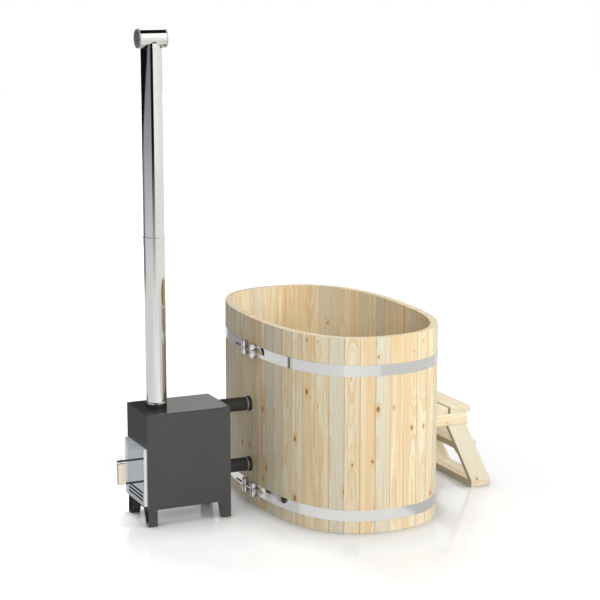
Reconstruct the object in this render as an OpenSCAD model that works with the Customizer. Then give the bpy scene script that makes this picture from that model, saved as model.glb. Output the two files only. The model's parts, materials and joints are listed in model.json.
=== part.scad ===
// Oval wooden hot tub with an outside wood-fired water heater, its flue and a step stool.
// Origin: the middle of the tub on the ground. +X runs from the heater to the stool,
// +Y along the tub's long side, +Z up.

/* [Tub] */
// Length of the tub over its staves, along Y
tub_length = 1730; // [1500:10:2000]
// Width of the tub over its staves, along X
tub_width = 1042; // [960:2:1200]
// Height of the staves
tub_height = 1140; // [1050:10:1250]
// Thickness of the staves
stave_t = 46; // [38:1:52]
// Number of staves
stave_count = 51; // [47:2:55]
// Fullness of the oval, where 2 is an ellipse
oval_share = 2.5; // [2.3:0.1:2.8]
// Gap between neighbouring staves or boards
board_gap = 0.4; // [0.3:0.1:1.5]
// Height of the bearers under the floor
bearer_h = 60; // [50:1:64]
// Width of each floor bearer
bearer_w = 70; // [50:1:90]
// Distance between neighbouring floor bearers
bearer_pitch = 300; // [240:5:320]
// Thickness of the floor boards
floor_t = 38; // [28:1:44]
// Number of floor boards
floor_board_count = 15; // [11:2:17]
// Depth of the groove that holds the floor
groove_depth = 10; // [6:1:14]

/* [Hoops] */
// Height of a hoop band
hoop_h = 65; // [50:1:66]
// Thickness of a hoop band
hoop_t = 1.5; // [1:0.1:2.5]
// Lower edge of the lower hoop
lower_hoop_z = 71; // [40:1:90]
// Distance from the rim down to the upper hoop's lower edge
upper_hoop_drop = 220; // [190:1:280]
// Outer radius of the folded loops of a hoop
loop_r = 20; // [18:0.5:21]
// How far a loop's barrel stands out above and below the band
barrel_proud = 9; // [2:0.5:12]
// Place of the loop that the nut draws, along Y
nut_loop_y = 25; // [20:1:40]
// Place of the loop that holds the bolt head, along Y
head_loop_y = -94; // [-110:1:-80]
// Length of the pointed slots in the band ends
slot_length = 88; // [80:1:110]
// Height of the slots in the band ends
slot_h = 22; // [19:0.5:24]
// Radius of the tension bolt
bolt_r = 7.5; // [6:0.1:8]
// Place of the free end of the tension bolt, along Y
bolt_end_y = 155; // [120:1:170]

/* [Bench] */
// Height of the seats over the floor
bench_h = 352; // [300:1:420]
// Depth of each seat, from its front edge to the tub wall
bench_depth = 350; // [300:5:380]
// Thickness of the seat slats
slat_t = 30; // [22:1:36]
// Width of a seat slat
slat_w = 78; // [60:1:80]
// Size of a bench post, square
bench_post = 45; // [36:1:50]

/* [Heater] */
// Length of the heater body, along X
stove_length = 514; // [480:2:560]
// Width of the heater body, along Y
stove_width = 347; // [340:1:380]
// Height of the heater body without its legs
stove_h = 569; // [540:1:620]
// Height of the legs
leg_h = 98; // [80:1:110]
// Distance between the tub and the heater
stove_gap = 217; // [200:1:260]
// Place of the heater's middle, along Y
stove_y = -54; // [-60:1:-48]
// Thickness of the heater's steel sheet
sheet_t = 4; // [3:0.5:5]
// Width of the water space round the firebox
jacket = 22; // [20:1:26]
// Outer radius of the water pipes
pipe_r = 35; // [32:0.5:37]
// Height of the upper water pipe
upper_pipe_z = 612; // [590:1:612]
// Height of the lower water pipe
lower_pipe_z = 238; // [225:1:260]

/* [Door] */
// Distance from the heater's near side to the door
door_near = 15.5; // [14:0.5:17]
// Distance from the heater's far side to the door
door_far = 12.5; // [12:0.5:15]
// Height of the door
door_h = 340; // [330:1:360]
// Height of the door's lower edge
door_z = 123; // [118:1:130]
// Depth of the door's rim
door_rim = 19.7; // [17:0.1:24]
// Thickness of the door's sheet
door_t = 2; // [1.5:0.1:2.5]
// Radius of the door's handle rods
rod_r = 6; // [5:0.1:6.5]
// Reach of the handle from the door's panel
handle_reach = 172; // [150:1:190]
// Length of the wooden grip
grip_length = 122; // [110:1:123]
// Height of the upper handle rod over the door's lower edge
upper_rod_rise = 287; // [280:1:300]
// Height of the lower handle rod over the door's lower edge
lower_rod_rise = 152; // [140:1:155]

/* [Flue] */
// Outer radius of the flue pipe
flue_r = 60; // [58:0.5:62]
// Thickness of the flue pipe
flue_t = 1; // [0.8:0.1:1.5]
// Distance of the flue from the heater's front
flue_inset = 122; // [110:1:140]
// Length of one flue section
flue_section = 976; // [900:2:1000]
// Height of the cap's middle over the heater's top
cap_rise = 2123; // [1980:1:2130]
// Outer radius of the cap's cross tube
cap_r = 54.5; // [52:0.5:56]
// Length of the cap's cross tube
cap_length = 152; // [140:1:170]

/* [Stool] */
// Height of the stool
stool_h = 527; // [500:1:560]
// Length of the stool, along Y
stool_length = 543; // [500:1:600]
// Place of the stool's near end, along Y
stool_y = -308; // [-320:1:-280]
// Thickness of the stool's legs and rails
leg_board_t = 40; // [34:1:44]
// Thickness of the seat planks and the tread
plank_t = 38; // [32:1:42]
// Width of a seat plank
plank_w = 141; // [130:1:150]
// Height of the stool's side rails
rail_h = 76; // [60:1:90]
// Height of the tread's top face
tread_z = 284; // [260:1:300]

/* [Hidden] */
$fn = 64;

// Gap between two pieces that are seated on each other
seat_gap = 0.2;
// Gap between pieces that move past each other
run_gap = 0.3;
// Radial clearance of a shaft that turns in its hole
shaft_gap = 0.05;
// How far a cut runs past the faces that it opens
overrun = 1;

// Oval outline
half_w = tub_width / 2;
half_l = tub_length / 2;
upper_hoop_z = tub_height - upper_hoop_drop;
sample_count = 720;

// A power of a number that keeps the number's sign
function signed_pow(v, p) = sign(v) * pow(abs(v), p);

// Point of the oval, counted from the middle of the heater side towards -Y
function oval_point(angle) = [
    -half_w * signed_pow(cos(angle), 2 / oval_share),
    -half_l * signed_pow(sin(angle), 2 / oval_share)
];

// Running sums of a list, starting at zero
function running_sums(v) = [
    for (i = 0, total = 0; i <= len(v); total = total + (i < len(v) ? v[i] : 0), i = i + 1) total
];

oval_samples = [for (i = [0 : sample_count]) oval_point(i * 360 / sample_count)];
oval_steps = [for (i = [1 : sample_count]) norm(oval_samples[i] - oval_samples[i - 1])];
oval_sums = running_sums(oval_steps);
oval_girth = oval_sums[sample_count];
angle_table = [for (i = [0 : sample_count]) [oval_sums[i], i * 360 / sample_count]];

// Corner of the oval between stave i and the next one
function oval_joint(i) = oval_point(lookup((i + 1 / 2) * oval_girth / stave_count, angle_table));
joints = [for (i = [0 : stave_count - 1]) oval_joint(i)];

function wrap(i) = (i + stave_count) % stave_count;
function unit(v) = v / norm(v);
// Direction of stave i along the wall, and its outward normal
function along(i) = unit(joints[wrap(i)] - joints[wrap(i - 1)]);
function outward(i) = [along(i).y, -along(i).x];
// Mitre at the corner after stave i, for an offset of one unit
function mitre(i) = (outward(i) + outward(i + 1)) / (1 + outward(i) * outward(i + 1));
// The oval's corners, moved outwards by a distance
function ring(out) = [for (i = [0 : stave_count - 1]) joints[i] + out * mitre(i)];

// Plan of stave i between two offsets, drawn in at each side
function stave_plan(i, outer, inner, side) = [
    joints[wrap(i - 1)] + outer * mitre(i - 1) + side * along(i),
    joints[wrap(i)] + outer * mitre(i) - side * along(i),
    joints[wrap(i)] + inner * mitre(i) - side * along(i),
    joints[wrap(i - 1)] + inner * mitre(i - 1) + side * along(i)
];

// Place of the heater side's outer face at a place along Y
side_table = [for (i = [-4 : 3]) [joints[wrap(i)].y, joints[wrap(i)].x]];
function side_x(y) = lookup(y, side_table);
// Outer face of the middle stave, which the water pipes go through
wall_x = side_x(0);

// Staves, in four groups round the oval
side_first = -floor(stave_count / 8);
front_first = side_first + ceil(stave_count / 4);
right_first = front_first + ceil(stave_count / 4);
back_first = right_first + floor(stave_count / 4);
floor_top = bearer_h + floor_t;
groove_gap = 0.3;
bore_gap = 0.2;

// Wall fittings and hoses
pipe_wall = 2.5;
pipe_z = [lower_pipe_z, upper_pipe_z];
wall_flange_r = 45;
wall_flange_t = 12;
gasket_t = 3;
wall_nut_r = 42;
wall_nut_t = 12;
guard_r = 38;
guard_t = 3;
guard_slot_w = 5;
guard_slot_pitch = 10;
fitting_inside = 24;
hose_wall = 6;
hose_bore_gap = 0.1;
hose_r = pipe_r + hose_bore_gap + hose_wall;
spigot_length = 50;
stub_length = 62;
hose_stub_show = 26;
clamp_t = 1.2;
clamp_w = 9;
clamp_inset = 17;
clamp_box_w = 13;
clamp_box_h = 10;
clamp_box_length = 24;
clamp_screw_r = 3.2;
clamp_screw_head_r = 4.6;
clamp_screw_head_t = 6;

// Heater body
stove_back_x = -half_w - stove_gap;
stove_front_x = stove_back_x - stove_length;
stove_low_y = stove_y - stove_width / 2;
stove_high_y = stove_y + stove_width / 2;
stove_top_z = leg_h + stove_h;
leg_x = 56;
leg_y = 85;
leg_foot_y = 40;
fire_side = jacket + 2 * sheet_t;
fire_back = 60;
fire_roof = 107;
fire_floor_rise = 35;
fire_floor_z = leg_h + fire_floor_rise;
fire_low_y = stove_low_y + fire_side;
fire_high_y = stove_high_y - fire_side;
fire_back_x = stove_back_x - fire_back;
fire_roof_z = stove_top_z - fire_roof;
mouth_inset = 15;
mouth_top_z = door_z + door_h - mouth_inset;
rail_z = 196;
rail_side = 14;
grate_t = 14;
grate_bar = 10;
grate_pitch = 22;
grate_gap = 4;
grate_front = 38;
pan_h = 46;
pan_t = 2;
pan_gap = 12;
pan_front = 6;

// Flue
flue_x = stove_front_x + flue_inset;
collar_h = 26;
collar_wall = 4;
collar_up = 45;
flue_seat = 0.3;
socket_h = 52;
socket_t = 1;
bead_r = 1.8;
bead_z = 9;
flue_z = stove_top_z + collar_h + flue_seat;
socket_z = flue_z + flue_section - socket_h;
cap_z = stove_top_z + cap_rise;
cap_neck = 70;
cap_waist = 8;
cap_wall = 1;
mesh_ring_length = 20;
mesh_proud = 8;
mesh_t = 1.2;
mesh_rim = 3;
mesh_pitch = 9;
mesh_hole = 6.6;

// Door
door_face_x = stove_front_x - run_gap;
door_front_x = door_face_x - door_rim;
panel_back = 2.7;
panel_x = door_face_x - panel_back - door_t;
door_low_y = stove_low_y + door_near;
door_high_y = stove_high_y - door_far;
seal_w = 8.5;
seal_inset = 3;
slot_near = 64;
slot_far = 9;
slot_low_y = door_low_y + slot_near;
slot_high_y = door_high_y - slot_far;
slot_rise = 12;
slot_foot = 11;
slot_low_z = door_z + slot_foot;
slot_pitch = 23;
slot_count = 3;
knuckle_r = 6;
pin_r = 3.5;
knuckle_h = 22;
hinge_inset = 55;
hinge_x = door_face_x - knuckle_r;
hinge_y = door_high_y + knuckle_r + seat_gap;
hinge_z = [door_z + hinge_inset, door_z + door_h - hinge_inset - 2 * knuckle_h];
shield_t = 3;
shield_depth = 24;
shield_edge = 9;
shield_foot = 92;
shield_head = 10;
shield_low_z = door_z + shield_foot;
shield_high_z = mouth_top_z - shield_head;
spacer_r = 5;
spacer_inset = 30;
rod_gap = 0.5;
rod_y = door_low_y + door_t + rod_r + rod_gap;
upper_rod_z = door_z + upper_rod_rise;
lower_rod_z = door_z + lower_rod_rise;
grip_x = 48;
grip_y = 22;
grip_under = 2;
grip_corner = 4;
grip_end = 1;
screw_inset = 24;
screw_r = 2.5;
screw_head_r = 5;
screw_head_h = 3;
screw_deep = 50;

// Drain
drain_x = bearer_pitch / 2;
drain_r = 25;
drain_bore_r = 19;
drain_flange_r = 40;
drain_flange_t = 4;
drain_tail = 66;
drain_nut_r = 38;
drain_nut_t = 14;
plug_length = 24;
plug_flange_r = 27;
plug_flange_t = 5;
plug_knob_r = 7;
plug_neck_r = 4;
plug_neck_h = 10;

// Bench
bench_gap = 2;
slat_gap = 12;
bench_front_y = half_l - stave_t - bench_depth;
bench_beam_h = 60;
bench_post_x = 220;
bench_rear_post = 205;
bench_beam_length = 280;

// Tension bolts
hoop_z = [lower_hoop_z, upper_hoop_z];
loop_gap = 0.1;
barrel_r = loop_r - hoop_t - loop_gap;
bolt_head_r = 13;
bolt_head_t = 10;
tip_share = 0.55;

// Stool
stool_gap = 7;
stool_x = half_w + stool_gap;
stool_plank_gap = 12;
rail_front = 269;
rail_cut = 15;
rail_inset = 3;
stool_rail_z = stool_h - plank_t - rail_h;
stool_foot_t = 40;
front_leg_top_x = 141;
front_leg_top_w = 126;
foot_board_x = 312;
foot_board_w = 132;
back_leg_w = 54;
tread_x = 219;
tread_w = 143;
cleat_h = 30;
cleat_t = 26;
cleat_length = 96;
cleat_inset = 4;
stool_screw_r = 3;
stool_screw_head_r = 5.5;
stool_screw_head_t = 3;
stool_screw_length = 55;
stool_screw_gap = 0.1;
stool_far_y = stool_y + stool_length;
leg_side_y = [stool_y, stool_far_y - leg_board_t];

// A tube along Z with its lower end at zero
module tube(outer, inner, length) {
    difference() {
        cylinder(r = outer, h = length);
        translate([0, 0, -overrun]) cylinder(r = inner, h = length + 2 * overrun);
    }
}

// Turns what stands along Z to lie along +X
module along_x() {
    rotate([0, 90, 0]) children();
}

// Turns what stands along Z to lie along +Y
module along_y() {
    rotate([-90, 0, 0]) children();
}

// A block between two corners
module block(low, high) {
    translate(low) cube(high - low);
}

// A plan in X and Z, with a thickness along +Y
module upright(y, thickness) {
    translate([0, y + thickness, 0]) rotate([90, 0, 0]) linear_extrude(thickness) children();
}

module one_stave(i) {
    difference() {
        linear_extrude(tub_height) polygon(stave_plan(i, 0, -stave_t, board_gap / 2));
        translate([0, 0, bearer_h - groove_gap]) linear_extrude(floor_t + 2 * groove_gap)
            polygon(stave_plan(i, groove_depth - stave_t, -stave_t - overrun, -overrun));
    }
}

module staves(first, last) {
    for (i = [first : last]) one_stave(i);
}

module staves_left() {
    color("burlywood") difference() {
        staves(side_first, front_first - 1);
        for (z = pipe_z) translate([-half_w - stave_t, 0, z]) along_x()
            cylinder(r = pipe_r + bore_gap, h = 3 * stave_t);
    }
}

module staves_front() {
    color("burlywood") staves(front_first, right_first - 1);
}

module staves_right() {
    color("burlywood") staves(right_first, back_first - 1);
}

module staves_back() {
    color("burlywood") staves(back_first, side_first + stave_count - 1);
}

// Floor boards run across the tub, in the groove of the staves
floor_out = groove_depth - stave_t - groove_gap;
floor_half_l = half_l + floor_out;
floor_pitch = (2 * floor_half_l + board_gap) / floor_board_count;

module floor_boards() {
    color("tan") difference() {
        for (i = [0 : floor_board_count - 1]) translate([0, 0, bearer_h]) linear_extrude(floor_t)
            intersection() {
                polygon(ring(floor_out));
                translate([-half_w, -floor_half_l + i * floor_pitch])
                    square([tub_width, floor_pitch - board_gap]);
            }
        translate([drain_x, 0, 0]) cylinder(r = drain_r + bore_gap, h = floor_top + overrun);
    }
}

module floor_bearers() {
    color("peru") for (side = [-1 : 1]) linear_extrude(bearer_h) intersection() {
        polygon(ring(-stave_t - bench_gap));
        translate([side * bearer_pitch - bearer_w / 2, -half_l]) square([bearer_w, tub_length]);
    }
}

module bench_slats() {
    seat_top = floor_top + bench_h;
    color("wheat") for (side = [-1, 1]) scale([1, side, 1])
        translate([0, 0, seat_top - slat_t]) linear_extrude(slat_t) intersection() {
            polygon(ring(-stave_t - bench_gap));
            for (i = [0 : floor(bench_depth / (slat_w + slat_gap)) - 1])
                translate([-half_w, bench_front_y + i * (slat_w + slat_gap)])
                    square([tub_width, slat_w]);
        }
}

module bench_frames() {
    beam_top = floor_top + bench_h - slat_t;
    color("peru") for (side = [-1, 1]) scale([1, side, 1]) for (x = [-bench_post_x, bench_post_x]) {
        block([x - bench_post / 2, bench_front_y, beam_top - bench_beam_h],
              [x + bench_post / 2, bench_front_y + bench_beam_length, beam_top]);
        for (y = [bench_front_y, bench_front_y + bench_rear_post])
            block([x - bench_post / 2, y, floor_top],
                  [x + bench_post / 2, y + bench_post, beam_top - bench_beam_h]);
    }
}

// Pointed slot in a band end, from the loop outwards along the band
module band_slot(y, side, z) {
    straight = slot_length * tip_share;
    translate([-half_w - loop_r, y, z]) scale([1, side, 1]) rotate([90, 0, 90])
        linear_extrude(3 * loop_r) polygon([
            [-overrun, -slot_h / 2], [straight, -slot_h / 2], [slot_length, 0],
            [straight, slot_h / 2], [-overrun, slot_h / 2]
        ]);
}

module hoop(z) {
    middle = z + hoop_h / 2;
    difference() {
        union() {
            difference() {
                translate([0, 0, z]) linear_extrude(hoop_h) difference() {
                    polygon(ring(seat_gap + hoop_t));
                    polygon(ring(seat_gap));
                }
                block([-half_w - loop_r, head_loop_y, z - overrun],
                      [-half_w + loop_r, nut_loop_y, z + hoop_h + overrun]);
            }
            for (y = [nut_loop_y, head_loop_y])
                translate([side_x(y) - seat_gap - loop_r, y, z])
                    tube(loop_r, loop_r - hoop_t, hoop_h);
        }
        for (y = [nut_loop_y, head_loop_y])
            block([-half_w - 3 * loop_r, y - loop_r - overrun, middle - slot_h / 2],
                  [-half_w + loop_r, y + loop_r + overrun, middle + slot_h / 2]);
        band_slot(nut_loop_y + loop_r, 1, middle);
        band_slot(head_loop_y - loop_r, -1, middle);
    }
}

module upper_hoop() {
    color("silver") hoop(upper_hoop_z);
}

module lower_hoop() {
    color("silver") hoop(lower_hoop_z);
}

// The bolt lies a little outside the loops' middle line, square to Y
bolt_x = side_x(nut_loop_y) - seat_gap - loop_r;

module barrels(z) {
    difference() {
        for (y = [nut_loop_y, head_loop_y])
            translate([side_x(y) - seat_gap - loop_r, y, z - barrel_proud])
                cylinder(r = barrel_r, h = hoop_h + 2 * barrel_proud);
        translate([bolt_x, head_loop_y - loop_r - overrun, z + hoop_h / 2]) along_y()
            cylinder(r = bolt_r + shaft_gap, h = nut_loop_y - head_loop_y + 2 * loop_r + 2 * overrun);
    }
}

module upper_barrels() {
    color("gainsboro") barrels(upper_hoop_z);
}

module lower_barrels() {
    color("gainsboro") barrels(lower_hoop_z);
}

module tension_bolt(z) {
    head_y = head_loop_y - loop_r - run_gap;
    translate([bolt_x, head_y, z + hoop_h / 2]) along_y() {
        cylinder(r = bolt_r, h = bolt_end_y - head_y);
        translate([0, 0, -bolt_head_t]) cylinder(r = bolt_head_r, h = bolt_head_t, $fn = 6);
    }
}

module upper_tension_bolt() {
    color("lightgray") tension_bolt(upper_hoop_z);
}

module lower_tension_bolt() {
    color("lightgray") tension_bolt(lower_hoop_z);
}

module tension_nuts() {
    color("lightgray") for (z = hoop_z)
        translate([bolt_x, nut_loop_y + loop_r + run_gap, z + hoop_h / 2]) along_y() difference() {
            cylinder(r = bolt_head_r, h = bolt_head_t, $fn = 6);
            translate([0, 0, -overrun])
                cylinder(r = bolt_r + shaft_gap, h = bolt_head_t + 2 * overrun);
        }
}

module drain_fitting() {
    color("goldenrod") translate([drain_x, 0, floor_top - drain_tail]) difference() {
        union() {
            cylinder(r = drain_r, h = drain_tail + overrun);
            translate([0, 0, drain_tail]) cylinder(r = drain_flange_r, h = drain_flange_t);
        }
        translate([0, 0, -overrun]) cylinder(r = drain_bore_r, h = drain_tail + drain_flange_t + 2 * overrun);
    }
}

module drain_nut() {
    color("goldenrod") translate([drain_x, 0, bearer_h - seat_gap - drain_nut_t]) difference() {
        cylinder(r = drain_nut_r, h = drain_nut_t, $fn = 6);
        translate([0, 0, -overrun]) cylinder(r = drain_r + seat_gap, h = drain_nut_t + 2 * overrun);
    }
}

module drain_plug() {
    top = floor_top + drain_flange_t + run_gap;
    color("dimgray") translate([drain_x, 0, top]) {
        translate([0, 0, -plug_length]) cylinder(r = drain_bore_r - shaft_gap, h = plug_length + plug_flange_t);
        cylinder(r = plug_flange_r, h = plug_flange_t);
        cylinder(r = plug_neck_r, h = plug_flange_t + plug_neck_h + plug_knob_r);
        translate([0, 0, plug_flange_t + plug_neck_h + plug_knob_r]) sphere(r = plug_knob_r);
    }
}

// Through-wall fitting with its flange outside and its spigot towards the heater
module wall_fitting(z) {
    flange_x = wall_x - gasket_t - wall_flange_t;
    translate([flange_x, 0, z]) along_x() difference() {
        union() {
            translate([0, 0, -spigot_length])
                cylinder(r = pipe_r, h = spigot_length + wall_flange_t + gasket_t + stave_t + fitting_inside);
            cylinder(r = wall_flange_r, h = wall_flange_t);
        }
        translate([0, 0, -spigot_length - overrun]) cylinder(r = pipe_r - pipe_wall,
            h = spigot_length + wall_flange_t + gasket_t + stave_t + fitting_inside + 2 * overrun);
    }
}

module upper_wall_fitting() {
    color("dimgray") wall_fitting(upper_pipe_z);
}

module lower_wall_fitting() {
    color("dimgray") wall_fitting(lower_pipe_z);
}

module wall_gaskets() {
    color("black") for (z = pipe_z) translate([0, 0, z]) {
        translate([wall_x - gasket_t, 0, 0]) along_x()
            tube(wall_flange_r, pipe_r + bore_gap, gasket_t - seat_gap);
        translate([wall_x + stave_t + seat_gap, 0, 0]) along_x()
            tube(wall_nut_r * cos(30), pipe_r + bore_gap, gasket_t - seat_gap);
    }
}

module wall_nuts() {
    color("dimgray") for (z = pipe_z)
        translate([wall_x + stave_t + gasket_t, 0, z]) along_x() difference() {
            cylinder(r = wall_nut_r, h = wall_nut_t, $fn = 6);
            translate([0, 0, -overrun]) cylinder(r = pipe_r + seat_gap, h = wall_nut_t + 2 * overrun);
        }
}

module inlet_guards() {
    guard_x = wall_x + stave_t + fitting_inside + seat_gap;
    color("silver") for (z = pipe_z) translate([guard_x, 0, z]) along_x() {
        linear_extrude(guard_t) difference() {
            circle(r = guard_r);
            for (i = [-2 : 2]) {
                half = sqrt(pow(guard_r - guard_slot_w, 2) - pow(i * guard_slot_pitch, 2)) - guard_slot_w;
                translate([i * guard_slot_pitch - guard_slot_w / 2, -half]) square([guard_slot_w, 2 * half]);
            }
        }
        translate([0, 0, -guard_slot_w]) tube(pipe_r - pipe_wall - seat_gap,
            pipe_r - 2 * pipe_wall, guard_slot_w + guard_t / 2);
    }
}

hose_low_x = stove_back_x + hose_stub_show;
hose_high_x = wall_x - gasket_t - wall_flange_t - seat_gap;

module hose(z) {
    translate([hose_low_x, 0, z]) along_x()
        tube(hose_r, pipe_r + hose_bore_gap, hose_high_x - hose_low_x);
}

module upper_hose() {
    color("black") hose(upper_pipe_z);
}

module lower_hose() {
    color("black") hose(lower_pipe_z);
}

// A worm-drive hose clamp with its screw housing at the back
module hose_clamp(x, z) {
    translate([x, 0, z]) {
        along_x() tube(hose_r + seat_gap + clamp_t, hose_r + seat_gap, clamp_w);
        difference() {
            block([(clamp_w - clamp_box_w) / 2, hose_r + seat_gap + clamp_t / 2, -clamp_box_length / 2],
                  [(clamp_w + clamp_box_w) / 2, hose_r + clamp_box_h, clamp_box_length / 2]);
            translate([clamp_w / 2, hose_r + clamp_box_h / 2 + clamp_t, -clamp_box_length])
                cylinder(r = clamp_screw_r + shaft_gap, h = 2 * clamp_box_length);
            translate([-clamp_w, 0, 0]) along_x() cylinder(r = hose_r + seat_gap, h = 3 * clamp_w);
        }
    }
}

clamp_low_x = hose_low_x + clamp_inset;
clamp_high_x = hose_high_x - clamp_w - (wall_flange_t - clamp_w) - 2 * seat_gap;

module stove_side_clamps() {
    color("silver") for (z = pipe_z) hose_clamp(clamp_low_x, z);
}

module tub_side_clamps() {
    color("silver") for (z = pipe_z) hose_clamp(clamp_high_x, z);
}

module clamp_screws() {
    color("gray") for (z = pipe_z) for (x = [clamp_low_x, clamp_high_x])
        translate([x + clamp_w / 2, hose_r + clamp_box_h / 2 + clamp_t, z - clamp_box_length / 2 - seat_gap]) {
            cylinder(r = clamp_screw_r, h = clamp_box_length + 2 * seat_gap);
            translate([0, 0, -clamp_screw_head_t]) cylinder(r = clamp_screw_head_r, h = clamp_screw_head_t, $fn = 6);
        }
}

module stove_casing() {
    color("#3c3c3a") difference() {
        block([stove_front_x, stove_low_y, leg_h], [stove_back_x, stove_high_y, stove_top_z - sheet_t]);
        block([stove_front_x + sheet_t, stove_low_y + sheet_t, leg_h + sheet_t],
              [stove_back_x - sheet_t, stove_high_y - sheet_t, stove_top_z]);
        block([stove_front_x - overrun, fire_low_y, fire_floor_z],
              [stove_front_x + sheet_t + overrun, fire_high_y, mouth_top_z]);
        for (z = pipe_z) translate([stove_back_x - 2 * sheet_t, 0, z]) along_x()
            cylinder(r = pipe_r + seat_gap, h = 3 * sheet_t);
    }
}

module stove_top_plate() {
    color("#6c6c6c") difference() {
        block([stove_front_x, stove_low_y, stove_top_z - sheet_t],
              [stove_back_x, stove_high_y, stove_top_z]);
        translate([flue_x, stove_y, stove_top_z - 2 * sheet_t])
            cylinder(r = flue_r - flue_t - hose_bore_gap + seat_gap, h = 3 * sheet_t);
    }
}

// A leg tapers on its inner side, and its outer sides stand flush with the body
module stove_legs() {
    color("#3c3c3a") for (side = [-1, 1]) for (x = [stove_front_x, stove_back_x - leg_x])
        translate([x, stove_y, 0]) scale([1, side, 1]) rotate([90, 0, 90]) linear_extrude(leg_x)
            polygon([
                [stove_width / 2, 0], [stove_width / 2, leg_h],
                [stove_width / 2 - leg_y, leg_h], [stove_width / 2 - leg_foot_y, 0]
            ]);
}

module firebox() {
    color("#4a4844") difference() {
        block([stove_front_x + sheet_t, fire_low_y - sheet_t, fire_floor_z - sheet_t],
              [fire_back_x, fire_high_y + sheet_t, fire_roof_z + sheet_t]);
        block([stove_front_x, fire_low_y, fire_floor_z], [fire_back_x - sheet_t, fire_high_y, fire_roof_z]);
        translate([flue_x, stove_y, fire_roof_z - overrun])
            cylinder(r = flue_r - flue_t - hose_bore_gap + seat_gap, h = sheet_t + 2 * overrun);
    }
}

module water_stubs() {
    color("#3c3c3a") for (z = pipe_z) translate([stove_back_x - 3 * sheet_t, 0, z]) along_x()
        tube(pipe_r, pipe_r - pipe_wall, stub_length + 3 * sheet_t);
}

module grate_rails() {
    color("#4a4844") for (side = [-1, 1]) translate([0, stove_y, 0]) scale([1, side, 1])
        block([stove_front_x + grate_front, stove_width / 2 - fire_side - rail_side, rail_z - sheet_t],
              [fire_back_x - sheet_t - grate_gap, stove_width / 2 - fire_side, rail_z]);
}

module fire_grate() {
    low_x = stove_front_x + grate_front;
    high_x = fire_back_x - sheet_t - grate_gap;
    half_y = stove_width / 2 - fire_side - grate_gap;
    bar_count = floor((half_y - grate_bar) / grate_pitch);
    color("#2c2c2c") translate([0, stove_y, rail_z]) {
        for (x = [low_x, high_x - grate_bar])
            block([x, -half_y, 0], [x + grate_bar, half_y, grate_t]);
        for (y = [-half_y, half_y - grate_bar])
            block([low_x, y, 0], [high_x, y + grate_bar, grate_t]);
        for (i = [-bar_count + 1 : bar_count - 1])
            block([low_x, i * grate_pitch - grate_bar / 2, 0],
                  [high_x, i * grate_pitch + grate_bar / 2, grate_t]);
    }
}

module ash_pan() {
    low = [stove_front_x + grate_front, fire_low_y + pan_gap, fire_floor_z];
    high = [fire_back_x - sheet_t - grate_gap, fire_high_y - pan_gap, fire_floor_z + pan_h];
    wall = [pan_t, pan_t, pan_t];
    color("#5a5a5a") {
        difference() {
            block(low, high);
            block(low + wall, [high.x - pan_t, high.y - pan_t, high.z + overrun]);
        }
        block([low.x - 2 * pan_front, stove_y - 3 * pan_front, high.z - pan_front],
              [low.x + overrun, stove_y + 3 * pan_front, high.z - pan_front + pan_t]);
    }
}

// Spigot from the firebox roof up through the top plate, with the shoulder the flue stands on
module flue_collar() {
    spigot_r = flue_r - flue_t - hose_bore_gap;
    shoulder = stove_top_z - fire_roof_z;
    color("#222222") translate([flue_x, stove_y, fire_roof_z]) difference() {
        union() {
            cylinder(r = spigot_r, h = shoulder + collar_h + collar_up);
            translate([0, 0, shoulder + seat_gap]) cylinder(r = flue_r, h = collar_h - seat_gap);
        }
        translate([0, 0, -overrun])
            cylinder(r = spigot_r - collar_wall, h = shoulder + collar_h + collar_up + 2 * overrun);
    }
}

// Lower flue section, with a bead near its foot and a wider socket on top
module flue_lower() {
    color("whitesmoke") translate([flue_x, stove_y, flue_z]) {
        rotate_extrude($fn = 96) polygon([
            [flue_r - flue_t, 0], [flue_r, 0],
            [flue_r, bead_z - bead_r], [flue_r + bead_r, bead_z], [flue_r, bead_z + bead_r],
            [flue_r, flue_section - socket_h - socket_t],
            [flue_r + seat_gap + socket_t, flue_section - socket_h],
            [flue_r + seat_gap + socket_t, flue_section],
            [flue_r + seat_gap, flue_section],
            [flue_r + seat_gap, flue_section - socket_h],
            [flue_r - flue_t, flue_section - socket_h - socket_t]
        ]);
    }
}

module flue_upper() {
    top = cap_z - cap_r - flue_seat;
    low = socket_z + flue_seat;
    color("whitesmoke") translate([flue_x, stove_y, low])
        difference() {
            cylinder(r = flue_r, h = top - low, $fn = 96);
            translate([0, 0, -overrun]) cylinder(r = flue_r - flue_t, h = top - low + 2 * overrun, $fn = 96);
        }
}

// Heads of the small screws that pin each flue section to what carries it
flue_screw_head_r = 4;
flue_screw_head_t = 2.2;
flue_screw_turn = 24;

module flue_screws() {
    places = [flue_z + 3 * bead_z, socket_z + socket_h / 2];
    color("silver") for (i = [0, 1])
        translate([flue_x, stove_y, places[i]]) rotate([0, 0, flue_screw_turn]) along_y()
            translate([0, 0, -flue_r - i * (seat_gap + socket_t) - flue_screw_head_t - seat_gap])
                cylinder(r = flue_screw_head_r, h = flue_screw_head_t);
}

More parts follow.
